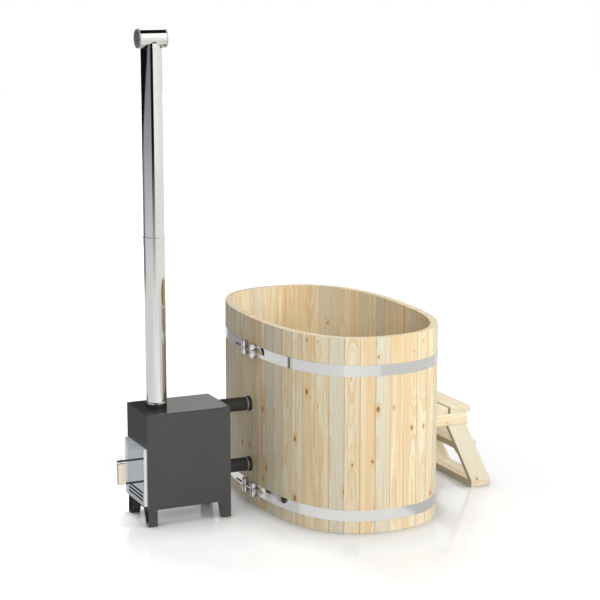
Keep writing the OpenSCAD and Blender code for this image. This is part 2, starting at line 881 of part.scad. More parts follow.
module cap_tee() {
    neck_r = flue_r - flue_t - hose_bore_gap;
    neck_top = cap_z - cap_r - flue_seat;
    waist_r = cap_r - 2 * cap_wall;
    color("whitesmoke") difference() {
        union() {
            translate([flue_x - cap_length / 2, stove_y, cap_z]) along_x() cylinder(r = cap_r, h = cap_length);
            translate([flue_x, stove_y, 0]) rotate_extrude() polygon([
                [0, neck_top - cap_neck], [neck_r, neck_top - cap_neck], [neck_r, neck_top - cap_waist],
                [waist_r, neck_top], [waist_r, cap_z - waist_r / 2], [0, cap_z - waist_r / 2]
            ]);
        }
        translate([flue_x - cap_length / 2 - overrun, stove_y, cap_z]) along_x()
            cylinder(r = cap_r - cap_wall, h = cap_length + 2 * overrun);
        translate([flue_x, stove_y, 0]) rotate_extrude() polygon([
            [0, neck_top - cap_neck - overrun], [neck_r - cap_wall, neck_top - cap_neck - overrun],
            [neck_r - cap_wall, neck_top - cap_waist], [waist_r - cap_wall, neck_top],
            [waist_r - cap_wall, cap_z], [0, cap_z]
        ]);
    }
}

// Mesh cups in both ends of the cross tube
module cap_mesh() {
    cup_r = cap_r - cap_wall - seat_gap;
    reach = floor((cup_r - mesh_rim) / mesh_pitch);
    color("gray") for (side = [-1, 1])
        translate([flue_x, stove_y, cap_z]) scale([side, 1, 1])
            translate([cap_length / 2 + mesh_proud, 0, 0]) along_x() {
                translate([0, 0, -mesh_ring_length]) tube(cup_r, cup_r - mesh_t, mesh_ring_length - mesh_t / 2);
                translate([0, 0, -mesh_t]) linear_extrude(mesh_t) difference() {
                    circle(r = cup_r);
                    for (i = [-reach : reach]) for (j = [-reach : reach])
                        if (norm([abs(i) + 1 / 2, abs(j) + 1 / 2]) * mesh_pitch < cup_r - mesh_rim)
                            translate([i * mesh_pitch, j * mesh_pitch])
                                square([mesh_hole, mesh_hole], center = true);
                }
            }
}

// Folded tray whose rim stands outwards, with air slots low in its panel
module door_pan() {
    color("lightsteelblue") difference() {
        block([door_front_x, door_low_y, door_z], [door_face_x, door_high_y, door_z + door_h]);
        block([door_front_x - overrun, door_low_y + door_t, door_z + door_t],
              [panel_x, door_high_y - door_t, door_z + door_h - door_t]);
        block([panel_x + door_t, door_low_y + door_t, door_z + door_t],
              [door_face_x + overrun, door_high_y - door_t, door_z + door_h - door_t]);
        for (i = [0 : slot_count - 1])
            block([panel_x - overrun, slot_low_y, slot_low_z + i * slot_pitch],
                  [panel_x + door_t + overrun, slot_high_y, slot_low_z + i * slot_pitch + slot_rise]);
    }
}

// Flat sealing cord round the firebox mouth, on the back of the panel
module door_seal() {
    low = [panel_x + door_t, door_low_y + door_t + seal_inset, door_z + door_t + seat_gap];
    high = [door_face_x, door_high_y - door_t - seal_inset, mouth_top_z + seal_w];
    color("dimgray") difference() {
        block(low, high);
        block([low.x - overrun, low.y + seal_w, low.z + seal_w],
              [high.x + overrun, high.y - seal_w, high.z - seal_w]);
    }
}

shield_x = stove_front_x + shield_depth;

module heat_shield() {
    color("#6a6864") block([shield_x, fire_low_y + shield_edge, shield_low_z],
                           [shield_x + shield_t, fire_high_y - shield_edge, shield_high_z]);
}

module shield_spacers() {
    low_x = panel_x + door_t;
    color("gray") for (y = [fire_low_y + spacer_inset, fire_high_y - spacer_inset])
        for (z = [shield_low_z + spacer_inset, shield_high_z - spacer_inset])
            translate([low_x, y, z]) along_x() cylinder(r = spacer_r, h = shield_x - low_x);
}

// Lift-off hinges: the lug with its pin stays on the heater, the knuckle above it is on the door
module door_knuckles() {
    color("lightsteelblue") for (z = hinge_z) translate([hinge_x, hinge_y, z + knuckle_h + run_gap])
        difference() {
            union() {
                cylinder(r = knuckle_r, h = knuckle_h);
                block([-door_t, door_high_y - hinge_y + seat_gap - door_t / 2, 0], [door_t, -pin_r, knuckle_h]);
            }
            translate([0, 0, -overrun]) cylinder(r = pin_r + shaft_gap, h = knuckle_h + 2 * overrun);
            block([-2 * knuckle_r, door_high_y - hinge_y - door_t, -overrun],
                  [2 * knuckle_r, door_high_y - hinge_y + seat_gap / 2, knuckle_h + overrun]);
        }
}

module hinge_lugs() {
    color("#3c3c3a") for (z = hinge_z) translate([hinge_x, hinge_y, z]) difference() {
        union() {
            cylinder(r = knuckle_r, h = knuckle_h);
            block([0, pin_r - door_t / 2, 0], [stove_front_x - hinge_x, knuckle_r, knuckle_h]);
        }
        translate([0, 0, -overrun]) cylinder(r = pin_r + shaft_gap, h = knuckle_h + 2 * overrun);
        block([-2 * knuckle_r, -2 * knuckle_r, -overrun],
              [2 * knuckle_r, door_high_y - hinge_y + seat_gap / 2, knuckle_h + overrun]);
    }
}

module hinge_pins() {
    color("gray") for (z = hinge_z) translate([hinge_x, hinge_y, z])
        cylinder(r = pin_r, h = 2 * knuckle_h + run_gap);
}

rod_end_x = panel_x - handle_reach;
grip_high_x = rod_end_x + grip_end + grip_x;

module handle_rods() {
    color("#1c1c1c") difference() {
        union() {
            translate([rod_end_x, rod_y, upper_rod_z]) along_x() cylinder(r = rod_r, h = handle_reach);
            translate([rod_end_x + grip_x / 4, rod_y, lower_rod_z]) along_x()
                cylinder(r = rod_r, h = handle_reach - grip_x / 4);
        }
        translate([rod_end_x + screw_inset, rod_y, upper_rod_z - 2 * rod_r])
            cylinder(r = screw_r + shaft_gap, h = 4 * rod_r);
    }
}

module handle_grip() {
    low_z = lower_rod_z - grip_under;
    color("sienna") difference() {
        translate([rod_end_x + grip_end, rod_y - grip_y / 2, low_z]) linear_extrude(grip_length)
            translate([grip_corner, grip_corner]) offset(r = grip_corner, $fn = 24)
                square([grip_x - 2 * grip_corner, grip_y - 2 * grip_corner]);
        translate([rod_end_x + grip_x / 4 - seat_gap, rod_y, lower_rod_z]) along_x()
            cylinder(r = rod_r + seat_gap, h = 2 * grip_x);
        translate([rod_end_x + screw_inset, rod_y, low_z + grip_length - screw_deep - seat_gap])
            cylinder(r = screw_r + seat_gap, h = 2 * screw_deep);
    }
}

module grip_screw() {
    low_z = lower_rod_z - grip_under + grip_length - screw_deep;
    head_z = upper_rod_z + rod_r + seat_gap;
    color("silver") translate([rod_end_x + screw_inset, rod_y, 0]) {
        translate([0, 0, low_z]) cylinder(r = screw_r, h = head_z - low_z + screw_head_h / 2);
        translate([0, 0, head_z]) cylinder(r = screw_head_r, h = screw_head_h);
    }
}

module stool_planks() {
    color("bisque") for (i = [0, 1])
        translate([stool_x + i * (plank_w + stool_plank_gap), stool_y, stool_h - plank_t])
            cube([plank_w, stool_length, plank_t]);
}

module stool_rails() {
    low_x = stool_x + rail_inset;
    color("bisque") for (y = leg_side_y) upright(y, leg_board_t) polygon([
        [low_x, stool_rail_z], [stool_x + rail_front + rail_cut, stool_rail_z],
        [stool_x + rail_front, stool_rail_z + rail_h], [low_x, stool_rail_z + rail_h]
    ]);
}

// Edges of the slanting legs at a height
leg_rise = stool_rail_z - stool_foot_t;
function leg_near_x(z) = stool_x + front_leg_top_x
    + (foot_board_x - front_leg_top_x) * (stool_rail_z - z) / leg_rise;
function leg_far_x(z) = stool_x + front_leg_top_x + front_leg_top_w
    + (foot_board_x + foot_board_w - front_leg_top_x - front_leg_top_w) * (stool_rail_z - z) / leg_rise;

module stool_front_legs() {
    color("bisque") for (y = leg_side_y) upright(y, leg_board_t) polygon([
        [leg_near_x(stool_foot_t), stool_foot_t], [leg_far_x(stool_foot_t), stool_foot_t],
        [leg_far_x(stool_rail_z), stool_rail_z], [leg_near_x(stool_rail_z), stool_rail_z]
    ]);
}

module stool_back_legs() {
    low_x = stool_x + rail_inset;
    color("bisque") for (y = leg_side_y)
        block([low_x, y, 0], [low_x + back_leg_w, y + leg_board_t, stool_rail_z]);
}

module stool_tread() {
    color("bisque") block([stool_x + tread_x, stool_y + leg_board_t, tread_z - plank_t],
                          [stool_x + tread_x + tread_w, stool_far_y - leg_board_t, tread_z]);
}

// Cleats under the tread, on the inner faces of the slanting legs
cleat_top = tread_z - plank_t;
cleat_y = [stool_y + leg_board_t, stool_far_y - leg_board_t - cleat_t];
cleat_middle_x = (leg_near_x(cleat_top) + leg_near_x(cleat_top - cleat_h) + cleat_length) / 2 + cleat_inset;

module stool_cleats() {
    color("bisque") difference() {
        for (y = cleat_y) upright(y, cleat_t) polygon([
            [leg_near_x(cleat_top - cleat_h) + cleat_inset, cleat_top - cleat_h],
            [leg_near_x(cleat_top - cleat_h) + cleat_inset + cleat_length, cleat_top - cleat_h],
            [leg_near_x(cleat_top) + cleat_inset + cleat_length, cleat_top],
            [leg_near_x(cleat_top) + cleat_inset, cleat_top]
        ]);
        stool_screw_set(stool_screw_gap);
    }
}

// Screws up through the cleats into the tread, two in each cleat
module stool_screw_set(gap) {
    for (y = cleat_y) for (x = [-cleat_length / 4, cleat_length / 4])
        translate([cleat_middle_x + x, y + cleat_t / 2, cleat_top - cleat_h - overrun])
            cylinder(r = stool_screw_r + gap, h = cleat_h + 2 * overrun);
}

module stool_foot_board() {
    color("bisque") block([stool_x + foot_board_x, stool_y, 0],
                          [stool_x + foot_board_x + foot_board_w, stool_far_y, stool_foot_t]);
}

module stool_screws() {
    color("silver") for (y = cleat_y) for (x = [-cleat_length / 4, cleat_length / 4])
        translate([cleat_middle_x + x, y + cleat_t / 2, cleat_top - cleat_h - stool_screw_gap]) {
            cylinder(r = stool_screw_r, h = cleat_h);
            translate([0, 0, -stool_screw_head_t]) cylinder(r = stool_screw_head_r, h = stool_screw_head_t);
        }
}

staves_left();
staves_front();
staves_right();
staves_back();
floor_boards();
floor_bearers();
bench_slats();
bench_frames();
upper_hoop();
lower_hoop();
upper_barrels();
lower_barrels();
upper_tension_bolt();
lower_tension_bolt();
tension_nuts();
drain_fitting();
drain_nut();
drain_plug();
upper_wall_fitting();
lower_wall_fitting();
wall_gaskets();
wall_nuts();
inlet_guards();
upper_hose();
lower_hose();
tub_side_clamps();
stove_side_clamps();
clamp_screws();
stove_casing();
stove_top_plate();
stove_legs();
firebox();
water_stubs();
grate_rails();
fire_grate();
ash_pan();
flue_collar();
door_pan();
door_seal();
heat_shield();
shield_spacers();
door_knuckles();
hinge_lugs();
hinge_pins();
handle_rods();
handle_grip();
grip_screw();
flue_lower();
flue_upper();
flue_screws();
cap_tee();
cap_mesh();
stool_planks();
stool_rails();
stool_front_legs();
stool_back_legs();
stool_tread();
stool_cleats();
stool_foot_board();
stool_screws();
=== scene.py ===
import json
import math
import random

import bpy
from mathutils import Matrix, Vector


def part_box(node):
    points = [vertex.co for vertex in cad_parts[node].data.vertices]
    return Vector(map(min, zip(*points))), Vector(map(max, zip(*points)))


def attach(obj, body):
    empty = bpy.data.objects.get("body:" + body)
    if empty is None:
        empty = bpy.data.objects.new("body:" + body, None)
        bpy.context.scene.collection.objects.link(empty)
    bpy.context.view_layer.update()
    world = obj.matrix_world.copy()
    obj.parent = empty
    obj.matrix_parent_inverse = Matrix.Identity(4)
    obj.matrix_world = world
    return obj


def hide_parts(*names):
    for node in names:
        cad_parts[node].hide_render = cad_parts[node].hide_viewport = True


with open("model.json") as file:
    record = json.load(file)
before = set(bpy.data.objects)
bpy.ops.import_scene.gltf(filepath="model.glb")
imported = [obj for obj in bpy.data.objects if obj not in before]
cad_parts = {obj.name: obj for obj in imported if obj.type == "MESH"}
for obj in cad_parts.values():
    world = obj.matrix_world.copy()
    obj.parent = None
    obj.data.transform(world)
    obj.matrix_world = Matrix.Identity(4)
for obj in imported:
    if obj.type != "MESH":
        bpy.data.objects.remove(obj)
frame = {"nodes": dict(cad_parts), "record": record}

# The looks of a wooden hot tub round its CAD frame: copies of nodes with rounded edges, turned
# bolts and rims, materials for the plain nodes, and a white studio that the steel mirrors.
# The object stands in metres, +Z up, with the middle of the tub on the ground at the origin.
MM = 0.001
X, Y, Z = Vector((1, 0, 0)), Vector((0, 1, 0)), Vector((0, 0, 1))
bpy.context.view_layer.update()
record = frame["record"]
slot_of = {entry["node"]: entry["material_slot"] for entry in record["subparts"]}
body_of = {node: body for body, nodes in record["behaviour"]["bodies"].items() for node in nodes}


# Camera

camera_place = (-4673.1 * MM, -9746.9 * MM, 3293.8 * MM)
camera_pitch = 10.976   # degrees below the horizon
camera_yaw = 24.712     # degrees from +Y towards +X
camera_lens = 109.35    # in millimetres, like the sensor
sensor_width = 36
sight = 60              # how far the camera sees


def make_camera():
    """The photograph's view: a long lens, well above the tub's rim."""
    data = bpy.data.cameras.new("camera")
    data.lens = camera_lens
    data.sensor_width = sensor_width
    data.clip_end = sight
    camera = bpy.data.objects.new("camera", data)
    camera.location = camera_place
    camera.rotation_euler = (math.radians(90 - camera_pitch), 0, math.radians(-camera_yaw))
    bpy.context.scene.collection.objects.link(camera)
    bpy.context.scene.camera = camera


# Node helpers. Colors are red, green and blue; what can be a value can also be a socket. Spans,
# used further down, are the start and the end of a step.

def feed(tree, node, inputs):
    """Gives a node its inputs."""
    for key, value in inputs.items():
        if isinstance(value, bpy.types.NodeSocket):
            tree.links.new(value, node.inputs[key])
        elif node.inputs[key].type == "RGBA":
            node.inputs[key].default_value = (*value, 1)
        else:
            node.inputs[key].default_value = value


def put(tree, kind, inputs=None, **settings):
    """Adds a shader node with its settings and its inputs."""
    made = tree.nodes.new("ShaderNode" + kind)
    for key, value in settings.items():
        setattr(made, key, value)
    feed(tree, made, inputs or {})
    return made


def maths(tree, operation, a, b=0.0, clamp=False):
    return put(tree, "Math", {0: a, 1: b}, operation=operation, use_clamp=clamp).outputs[0]


def plus(tree, a, b, clamp=False):
    return maths(tree, "ADD", a, b, clamp)


def minus(tree, a, b):
    return maths(tree, "SUBTRACT", a, b)


def times(tree, a, b, clamp=False):
    return maths(tree, "MULTIPLY", a, b, clamp)


def linear(tree, value, slope, start):
    """The value times slope, plus start."""
    return put(tree, "Math", {0: value, 1: slope, 2: start}, operation="MULTIPLY_ADD").outputs[0]


def ramp(tree, value, start, end, before, after, kind="LINEAR"):
    """An even ramp from before to after as value goes from start to end."""
    return put(tree, "MapRange", {"Value": value, "From Min": start, "From Max": end,
                                  "To Min": before, "To Max": after},
               interpolation_type=kind).outputs[0]


def step(tree, value, start, end, before=0.0, after=1.0):
    """A ramp that starts and ends smoothly. Its start may lie above its end."""
    return ramp(tree, value, start, end, before, after, "SMOOTHSTEP")


def between(tree, value, low, high, blur):
    """One while value lies from low to high and zero outside, with blurred ends."""
    return times(tree, step(tree, value, low - blur, low + blur),
                 step(tree, value, high + blur, high - blur))


def blend(tree, factor, a, b, mode="MIX"):
    mixed = put(tree, "Mix", {0: factor, 6: a, 7: b}, data_type="RGBA", blend_type=mode)
    return mixed.outputs[2]


def grey_of(tree, value):
    return put(tree, "CombineColor", {0: value, 1: value, 2: value}).outputs[0]


def stretched(tree, vector, scale):
    return put(tree, "VectorMath", {0: vector, 1: scale}, operation="MULTIPLY").outputs[0]


def distance(tree, vector, point=(0, 0, 0)):
    return put(tree, "VectorMath", {0: vector, 1: point}, operation="DISTANCE").outputs["Value"]


def noise(tree, vector, scale, detail=2.0, rough=0.5):
    return put(tree, "TexNoise", {"Vector": vector, "Scale": scale, "Detail": detail,
                                  "Roughness": rough}).outputs["Fac"]


def long_noise(tree, vector, cycles, detail=2.0, rough=0.5):
    """Noise with its own number of cycles per metre in each of the three directions."""
    return noise(tree, stretched(tree, vector, cycles), 1.0, detail, rough)


def object_place(tree):
    return put(tree, "TexCoord").outputs["Object"]


def new_group(name, inputs, outputs):
    """A node group with nothing in it, its input sockets in their order, and its end node."""
    group = bpy.data.node_groups.new(name, "ShaderNodeTree")
    for socket, kind, value in inputs:
        made = group.interface.new_socket(socket, in_out="INPUT", socket_type="NodeSocket" + kind)
        if value is not None:
            made.default_value = (*value, 1) if kind == "Color" else value
    for socket, kind in outputs:
        group.interface.new_socket(socket, in_out="OUTPUT", socket_type="NodeSocket" + kind)
    given = [socket for socket in group.nodes.new("NodeGroupInput").outputs if socket.name]
    return group, given, group.nodes.new("NodeGroupOutput")


# Shared effects

def knots_in(tree, grain, rarity):
    """Small knots and the halos round them. They lie in the cells of a cloud of points, and only
    the cells whose chance beats the rarity have one."""
    cells_across, cells_along = 10.0, 5.2        # per metre
    least_radius, more_radius = 0.026, 0.062     # in cells
    wobble_cycles, wobble_depth = (90, 90, 45), 0.02
    knot_edge, halo_edge = (1.5, 1.0), (4.6, 0.9)    # in radii, from outside in
    across, _, along = put(tree, "SeparateXYZ", {0: grain}).outputs
    face = put(tree, "CombineXYZ", {0: times(tree, across, cells_across),
                                    1: times(tree, along, cells_along)}).outputs[0]
    cells = put(tree, "TexVoronoi", {"Vector": face, "Scale": 1.0},
                feature="F1", voronoi_dimensions="2D")
    chance, size, _ = put(tree, "SeparateColor", {0: cells.outputs["Color"]}).outputs
    present = maths(tree, "GREATER_THAN", chance, rarity)
    radius = linear(tree, maths(tree, "POWER", size, 2.0), more_radius, least_radius)
    wobble = times(tree, long_noise(tree, grain, wobble_cycles), wobble_depth)
    reach = maths(tree, "DIVIDE", plus(tree, cells.outputs["Distance"], wobble), radius)
    knot = times(tree, step(tree, reach, *knot_edge), present)
    halo = times(tree, step(tree, reach, *halo_edge), present)
    return knot, halo


def rings_in(tree, grain, halo):
    """Growth rings round the pith, bent by slow noise and by the knots: the late wood at the end
    of each ring, and broad bands of paler and darker rings."""
    rings, bands = 190.0, 85.0                   # per metre
    drift_cycles, drift_depth = (4, 4, 1.5), 0.06
    bend_at_knots = 0.009
    rise, fall = (0.25, 0.92), (1.0, 0.93)       # of the late wood, in shares of a ring
    drift = times(tree, long_noise(tree, grain, drift_cycles, 3.0), drift_depth)
    pith = distance(tree, stretched(tree, grain, (1, 1, 0)))
    ring_at = plus(tree, pith, plus(tree, drift, times(tree, halo, bend_at_knots)))
    wave = maths(tree, "FRACT", times(tree, ring_at, rings))
    late_wood = times(tree, step(tree, wave, *rise), step(tree, wave, *fall))
    broad = put(tree, "TexNoise", {"W": times(tree, ring_at, bands), "Scale": 1.0, "Detail": 2.0},
                noise_dimensions="1D").outputs["Fac"]
    return late_wood, broad


def make_softwood_group():
    """Growth rings, streaks along the board and small knots, from a board's own coordinates:
    across, through and along it. Above zero the end setting darkens and warms the cut ends like
    end grain; below zero it makes them paler, which is painted light."""
    tree, given, out = new_group(
        "softwood",
        [("Grain", "Vector", None), ("Tone", "Float", 0.5), ("Side", "Float", 0.0),
         ("End", "Float", 0.0), ("End grain and painted light", "Float", 0.36),
         ("Pale", "Color", (0.80, 0.70, 0.50)), ("Warm", "Color", (0.72, 0.45, 0.22)),
         ("Cool", "Color", (0.62, 0.60, 0.46)), ("Knot", "Color", (0.30, 0.10, 0.025)),
         ("Streak", "Float", 0.6), ("Knots", "Float", 0.72)],
        [("Color", "Color"), ("Roughness", "Float"), ("Height", "Float")])
    grain, tone, side, end, end_grain_and_painted_light, pale, warm, cool, knot_color, streaks, rarity = given
    streak_cycles, heart_cycles, fibre_cycles = (85, 85, 2.2), (18, 18, 0.45), (700, 700, 14)
    least_light, tone_light, fibre_light, joint_shade = 0.91, 0.12, 0.05, 0.36
    plain_rough, late_wood_gloss, knot_gloss = 0.56, 0.12, 0.15
    band_span, streak_span, arris_span = (0.50, 0.64), (0.53, 0.66), (0.92, 0.975)
    high_tone_span, low_tone_span = (0.35, 0.9), (0.55, 0.15)
    in_heart_span, off_heart_span = (0.46, 0.62), (0.62, 0.36)

    knot, halo = knots_in(tree, grain, rarity)
    late_wood, broad = rings_in(tree, grain, halo)
    streak = long_noise(tree, grain, streak_cycles, 4.0, 0.62)
    heart = long_noise(tree, grain, heart_cycles)
    fibre = long_noise(tree, grain, fibre_cycles)

    # Warm wood lies in bands and streaks, and in the heart of boards of a high tone; cool wood
    # lies outside the heart of those of a low tone.
    warm_part = plus(tree, step(tree, broad, *band_span, after=0.7),
                     step(tree, streak, *streak_span, after=0.9))
    warm_part = times(tree, warm_part, streaks, clamp=True)
    warm_heart = times(tree, step(tree, tone, *high_tone_span),
                       step(tree, heart, *in_heart_span))
    cool_part = times(tree, step(tree, tone, *low_tone_span),
                      step(tree, heart, *off_heart_span, before=0.25, after=0.85))
    # Above zero the cut ends are darker and warmer, like end grain; below zero they are paler:
    # painted light.
    end_grain_and_painted_light_share = times(tree, end, end_grain_and_painted_light)
    color = blend(tree, warm_part, pale, warm)
    for part, strength, shade in [(cool_part, 1.0, cool), (warm_heart, 0.62, warm),
                                  (late_wood, 0.40, warm), (end_grain_and_painted_light_share, 0.8, warm),
                                  (halo, 0.8, warm), (knot, 0.9, knot_color)]:
        color = blend(tree, times(tree, part, strength), color, shade)

    # The arrises of a board lie in the shade of the joint.
    joint = step(tree, maths(tree, "ABSOLUTE", side), *arris_span)
    light = plus(tree, linear(tree, tone, tone_light, least_light),
                 times(tree, fibre, fibre_light))
    light = minus(tree, light, times(tree, joint, joint_shade))
    light = times(tree, light, minus(tree, 1.0, end_grain_and_painted_light_share))
    color = blend(tree, 1.0, color, grey_of(tree, light), "MULTIPLY")

    rough = minus(tree, linear(tree, late_wood, -late_wood_gloss, plain_rough),
                  times(tree, knot, knot_gloss))
    height = plus(tree, times(tree, late_wood, 0.5), times(tree, fibre, 0.4))
    feed(tree, out, {"Color": color, "Roughness": rough, "Height": height})
    return tree


def make_sheet_group():
    """Slow waves of rolled sheet, faint rolling lines and smudges, for metal and paint."""
    tree, given, out = new_group(
        "sheet",
        [("Place", "Vector", None), ("Line", "Vector", (1, 1, 1)),
         ("Low", "Float", 0.1), ("High", "Float", 0.2)],
        [("Roughness", "Float"), ("Height", "Float"), ("Smudge", "Float")])
    place, line, low, high = given
    smudge_cycles, wave_cycles = 7.0, 9.0
    smudge_span = (0.42, 0.75)
    line_share, smudge_share = 0.6, 0.4
    lines = long_noise(tree, place, line, 3.0)
    smudge = step(tree, noise(tree, place, smudge_cycles, 4.0, 0.6), *smudge_span)
    mixed = plus(tree, times(tree, lines, line_share), times(tree, smudge, smudge_share),
                 clamp=True)
    feed(tree, out, {"Roughness": ramp(tree, mixed, 0.0, 1.0, low, high),
                     "Height": noise(tree, place, wave_cycles, 1.0), "Smudge": smudge})
    return tree


def make_speckle_group():
    """Fine grain of paint, rubber or cast metal."""
    tree, given, out = new_group(
        "speckle",
        [("Place", "Vector", None), ("Size", "Float", 400.0),
         ("Dark", "Color", (0.02, 0.02, 0.02)), ("Light", "Color", (0.05, 0.05, 0.05)),
         ("Low", "Float", 0.4), ("High", "Float", 0.6)],
        [("Color", "Color"), ("Roughness", "Float"), ("Height", "Float")])
    place, size, dark, light, low, high = given
    patch_cycles = 11.0
    color_span, rough_span = (0.3, 0.72), (0.3, 0.7)
    patch = noise(tree, place, patch_cycles, 4.0, 0.6)
    feed(tree, out, {"Color": blend(tree, step(tree, patch, *color_span), dark, light),
                     "Roughness": ramp(tree, patch, *rough_span, low, high),
                     "Height": noise(tree, place, size)})
    return tree


SOFTWOOD = make_softwood_group()
SHEET = make_sheet_group()
SPECKLE = make_speckle_group()


# Materials

grain_relief, sheet_relief, speckle_relief = 0.4 * MM, 2 * MM, 0.3 * MM
smudge_shade, smudge_strength = 0.8, 0.12


def blank_material(name):
    material = bpy.data.materials.new(name)
    material.use_nodes = True
    return material, material.node_tree, material.node_tree.nodes["Principled BSDF"]


def bump(tree, height, strength, depth):
    return put(tree, "Bump", {"Strength": strength, "Distance": depth,
                              "Height": height}).outputs[0]


def wood_material(name, pale, warm, cool, knot, streak=0.8, knots=0.72, end_grain_and_painted_light=0.36):
    """Planed softwood. Its grain follows each board's own coordinates."""
    material, tree, shader = blank_material(name)
    written = {"Grain": put(tree, "Attribute", attribute_name="grain").outputs["Vector"]}
    for value in ("tone", "side", "end"):
        read = put(tree, "Attribute", attribute_name=value)
        written[value.capitalize()] = read.outputs["Fac"]
    wood = put(tree, "Group", {**written, "Pale": pale, "Warm": warm, "Cool": cool,
                               "Knot": knot, "Streak": streak, "Knots": knots,
                               "End grain and painted light": end_grain_and_painted_light}, node_tree=SOFTWOOD)
    feed(tree, shader, {"Base Color": wood.outputs["Color"],
                        "Roughness": wood.outputs["Roughness"],
                        "Specular IOR Level": 0.35,
                        "Normal": bump(tree, wood.outputs["Height"], 0.25, grain_relief)})
    return material


def metal_material(name, color, rough, line, wave=0.0):
    """Polished or brushed metal, with its rolling lines along one direction. Rough is its lowest
    and highest roughness, and wave the strength of the sheet's slow waves."""
    material, tree, shader = blank_material(name)
    sheet = put(tree, "Group", {"Place": object_place(tree), "Line": line,
                                "Low": rough[0], "High": rough[1]}, node_tree=SHEET)
    smudged = tuple(smudge_shade * value for value in color)
    tint = blend(tree, times(tree, sheet.outputs["Smudge"], smudge_strength), color, smudged)
    feed(tree, shader, {"Base Color": tint, "Roughness": sheet.outputs["Roughness"],
                        "Metallic": 1.0})
    if wave:
        feed(tree, shader, {"Normal": bump(tree, sheet.outputs["Height"], wave, sheet_relief)})
    return material


def speckled_material(name, dark, light, rough, size=400.0, depth=0.1, metallic=0.0):
    """Paint, rubber, plastic or cast iron, with fine grain and slow patches. Rough is its lowest
    and highest roughness, and size the grain's cycles per metre."""
    material, tree, shader = blank_material(name)
    skin = put(tree, "Group", {"Place": object_place(tree), "Size": size,
                               "Dark": dark, "Light": light,
                               "Low": rough[0], "High": rough[1]}, node_tree=SPECKLE)
    feed(tree, shader, {"Base Color": skin.outputs["Color"],
                        "Roughness": skin.outputs["Roughness"], "Metallic": metallic,
                        "Normal": bump(tree, skin.outputs["Height"], depth, speckle_relief)})
    return material


MATERIALS = {
    # The tub's cut ends are made paler: painted light on the top of the rim.
    "tub_wood": wood_material(
        "larch_staves", pale=(0.88, 0.80, 0.60), warm=(0.77, 0.53, 0.27),
        cool=(0.77, 0.76, 0.64), knot=(0.32, 0.12, 0.03), knots=0.80, end_grain_and_painted_light=-0.10),
    "floor_wood": wood_material(
        "larch_floor", pale=(0.76, 0.66, 0.47), warm=(0.66, 0.43, 0.21),
        cool=(0.56, 0.54, 0.42), knot=(0.28, 0.11, 0.03)),
    "stool_wood": wood_material(
        "pine_boards", pale=(0.94, 0.89, 0.72), warm=(0.83, 0.64, 0.39),
        cool=(0.86, 0.84, 0.71), knot=(0.45, 0.22, 0.08), knots=0.76, end_grain_and_painted_light=0.10),
    "grip_wood": wood_material(
        "planed_grip", pale=(0.88, 0.82, 0.69), warm=(0.76, 0.60, 0.42),
        cool=(0.82, 0.76, 0.64), knot=(0.35, 0.2, 0.1), knots=0.97),
    "polished_steel": metal_material(
        "polished_steel", (0.72, 0.72, 0.715), rough=(0.03, 0.08), line=(20, 20, 400), wave=0.05),
    "bolt_steel": metal_material(
        "bolt_steel", (0.58, 0.58, 0.60), rough=(0.10, 0.22), line=(300, 20, 300)),
    "drain_brass": metal_material(
        "drain_brass", (0.72, 0.50, 0.22), rough=(0.2, 0.38), line=(200, 200, 200)),
    "mesh_steel": speckled_material(
        "woven_mesh", (0.40, 0.40, 0.39), (0.52, 0.52, 0.51), rough=(0.35, 0.5), metallic=0.3),
    "black_enamel": speckled_material(
        "dark_enamel", (0.053, 0.052, 0.050), (0.058, 0.057, 0.055), rough=(0.13, 0.18),
        size=900.0, depth=0.008),
    "door_paint": speckled_material(
        "door_sheet", (0.86, 0.90, 0.94), (0.90, 0.94, 0.98), rough=(0.30, 0.38),
        size=900.0, depth=0.015),
    "black_steel": speckled_material(
        "black_steel", (0.012, 0.012, 0.012), (0.024, 0.024, 0.024), rough=(0.3, 0.42)),
    "fire_iron": speckled_material(
        "sooty_iron", (0.03, 0.027, 0.025), (0.09, 0.075, 0.065), rough=(0.6, 0.85),
        size=180.0, depth=0.5, metallic=0.5),
    "seal_cord": speckled_material(
        "seal_cord", (0.14, 0.14, 0.13), (0.24, 0.24, 0.22), rough=(0.85, 0.95), depth=0.8),
    "hose_rubber": speckled_material(
        "hose_rubber", (0.022, 0.022, 0.021), (0.030, 0.030, 0.029), rough=(0.42, 0.56)),
    "fitting_plastic": speckled_material(
        "fitting_plastic", (0.016, 0.016, 0.016), (0.024, 0.024, 0.024), rough=(0.3, 0.42)),
}
CLAMP_BAND = metal_material(
    "brushed_band", (0.56, 0.58, 0.70), rough=(0.30, 0.45), line=(30, 500, 500))


# Pieces

same_point = 0.01 * MM      # points closer than this are one
flat_angle = 0.5            # degrees between faces that count as one plane
sharp_angle = 40            # degrees from which an edge of a CAD node is rounded
soft_angle = 35             # degrees up to which an edge is shaded smooth


def only(piece):
    """Selects one piece alone and makes it the active one."""
    bpy.ops.object.select_all(action="DESELECT")
    piece.select_set(True)
    bpy.context.view_layer.objects.active = piece


def apply_modifier(piece, kind, **settings):
    only(piece)
    made = piece.modifiers.new(kind.lower(), kind)
    for key, value in settings.items():
        setattr(made, key, value)
    bpy.ops.object.modifier_apply(modifier=made.name)


def round_edges(piece, width, segments, sharper_than):
    """Bevels the edges of a piece that are sharper than an angle in degrees."""
    apply_modifier(piece, "BEVEL", width=width, segments=segments, limit_method="ANGLE",
                   angle_limit=math.radians(sharper_than), use_clamp_overlap=True)


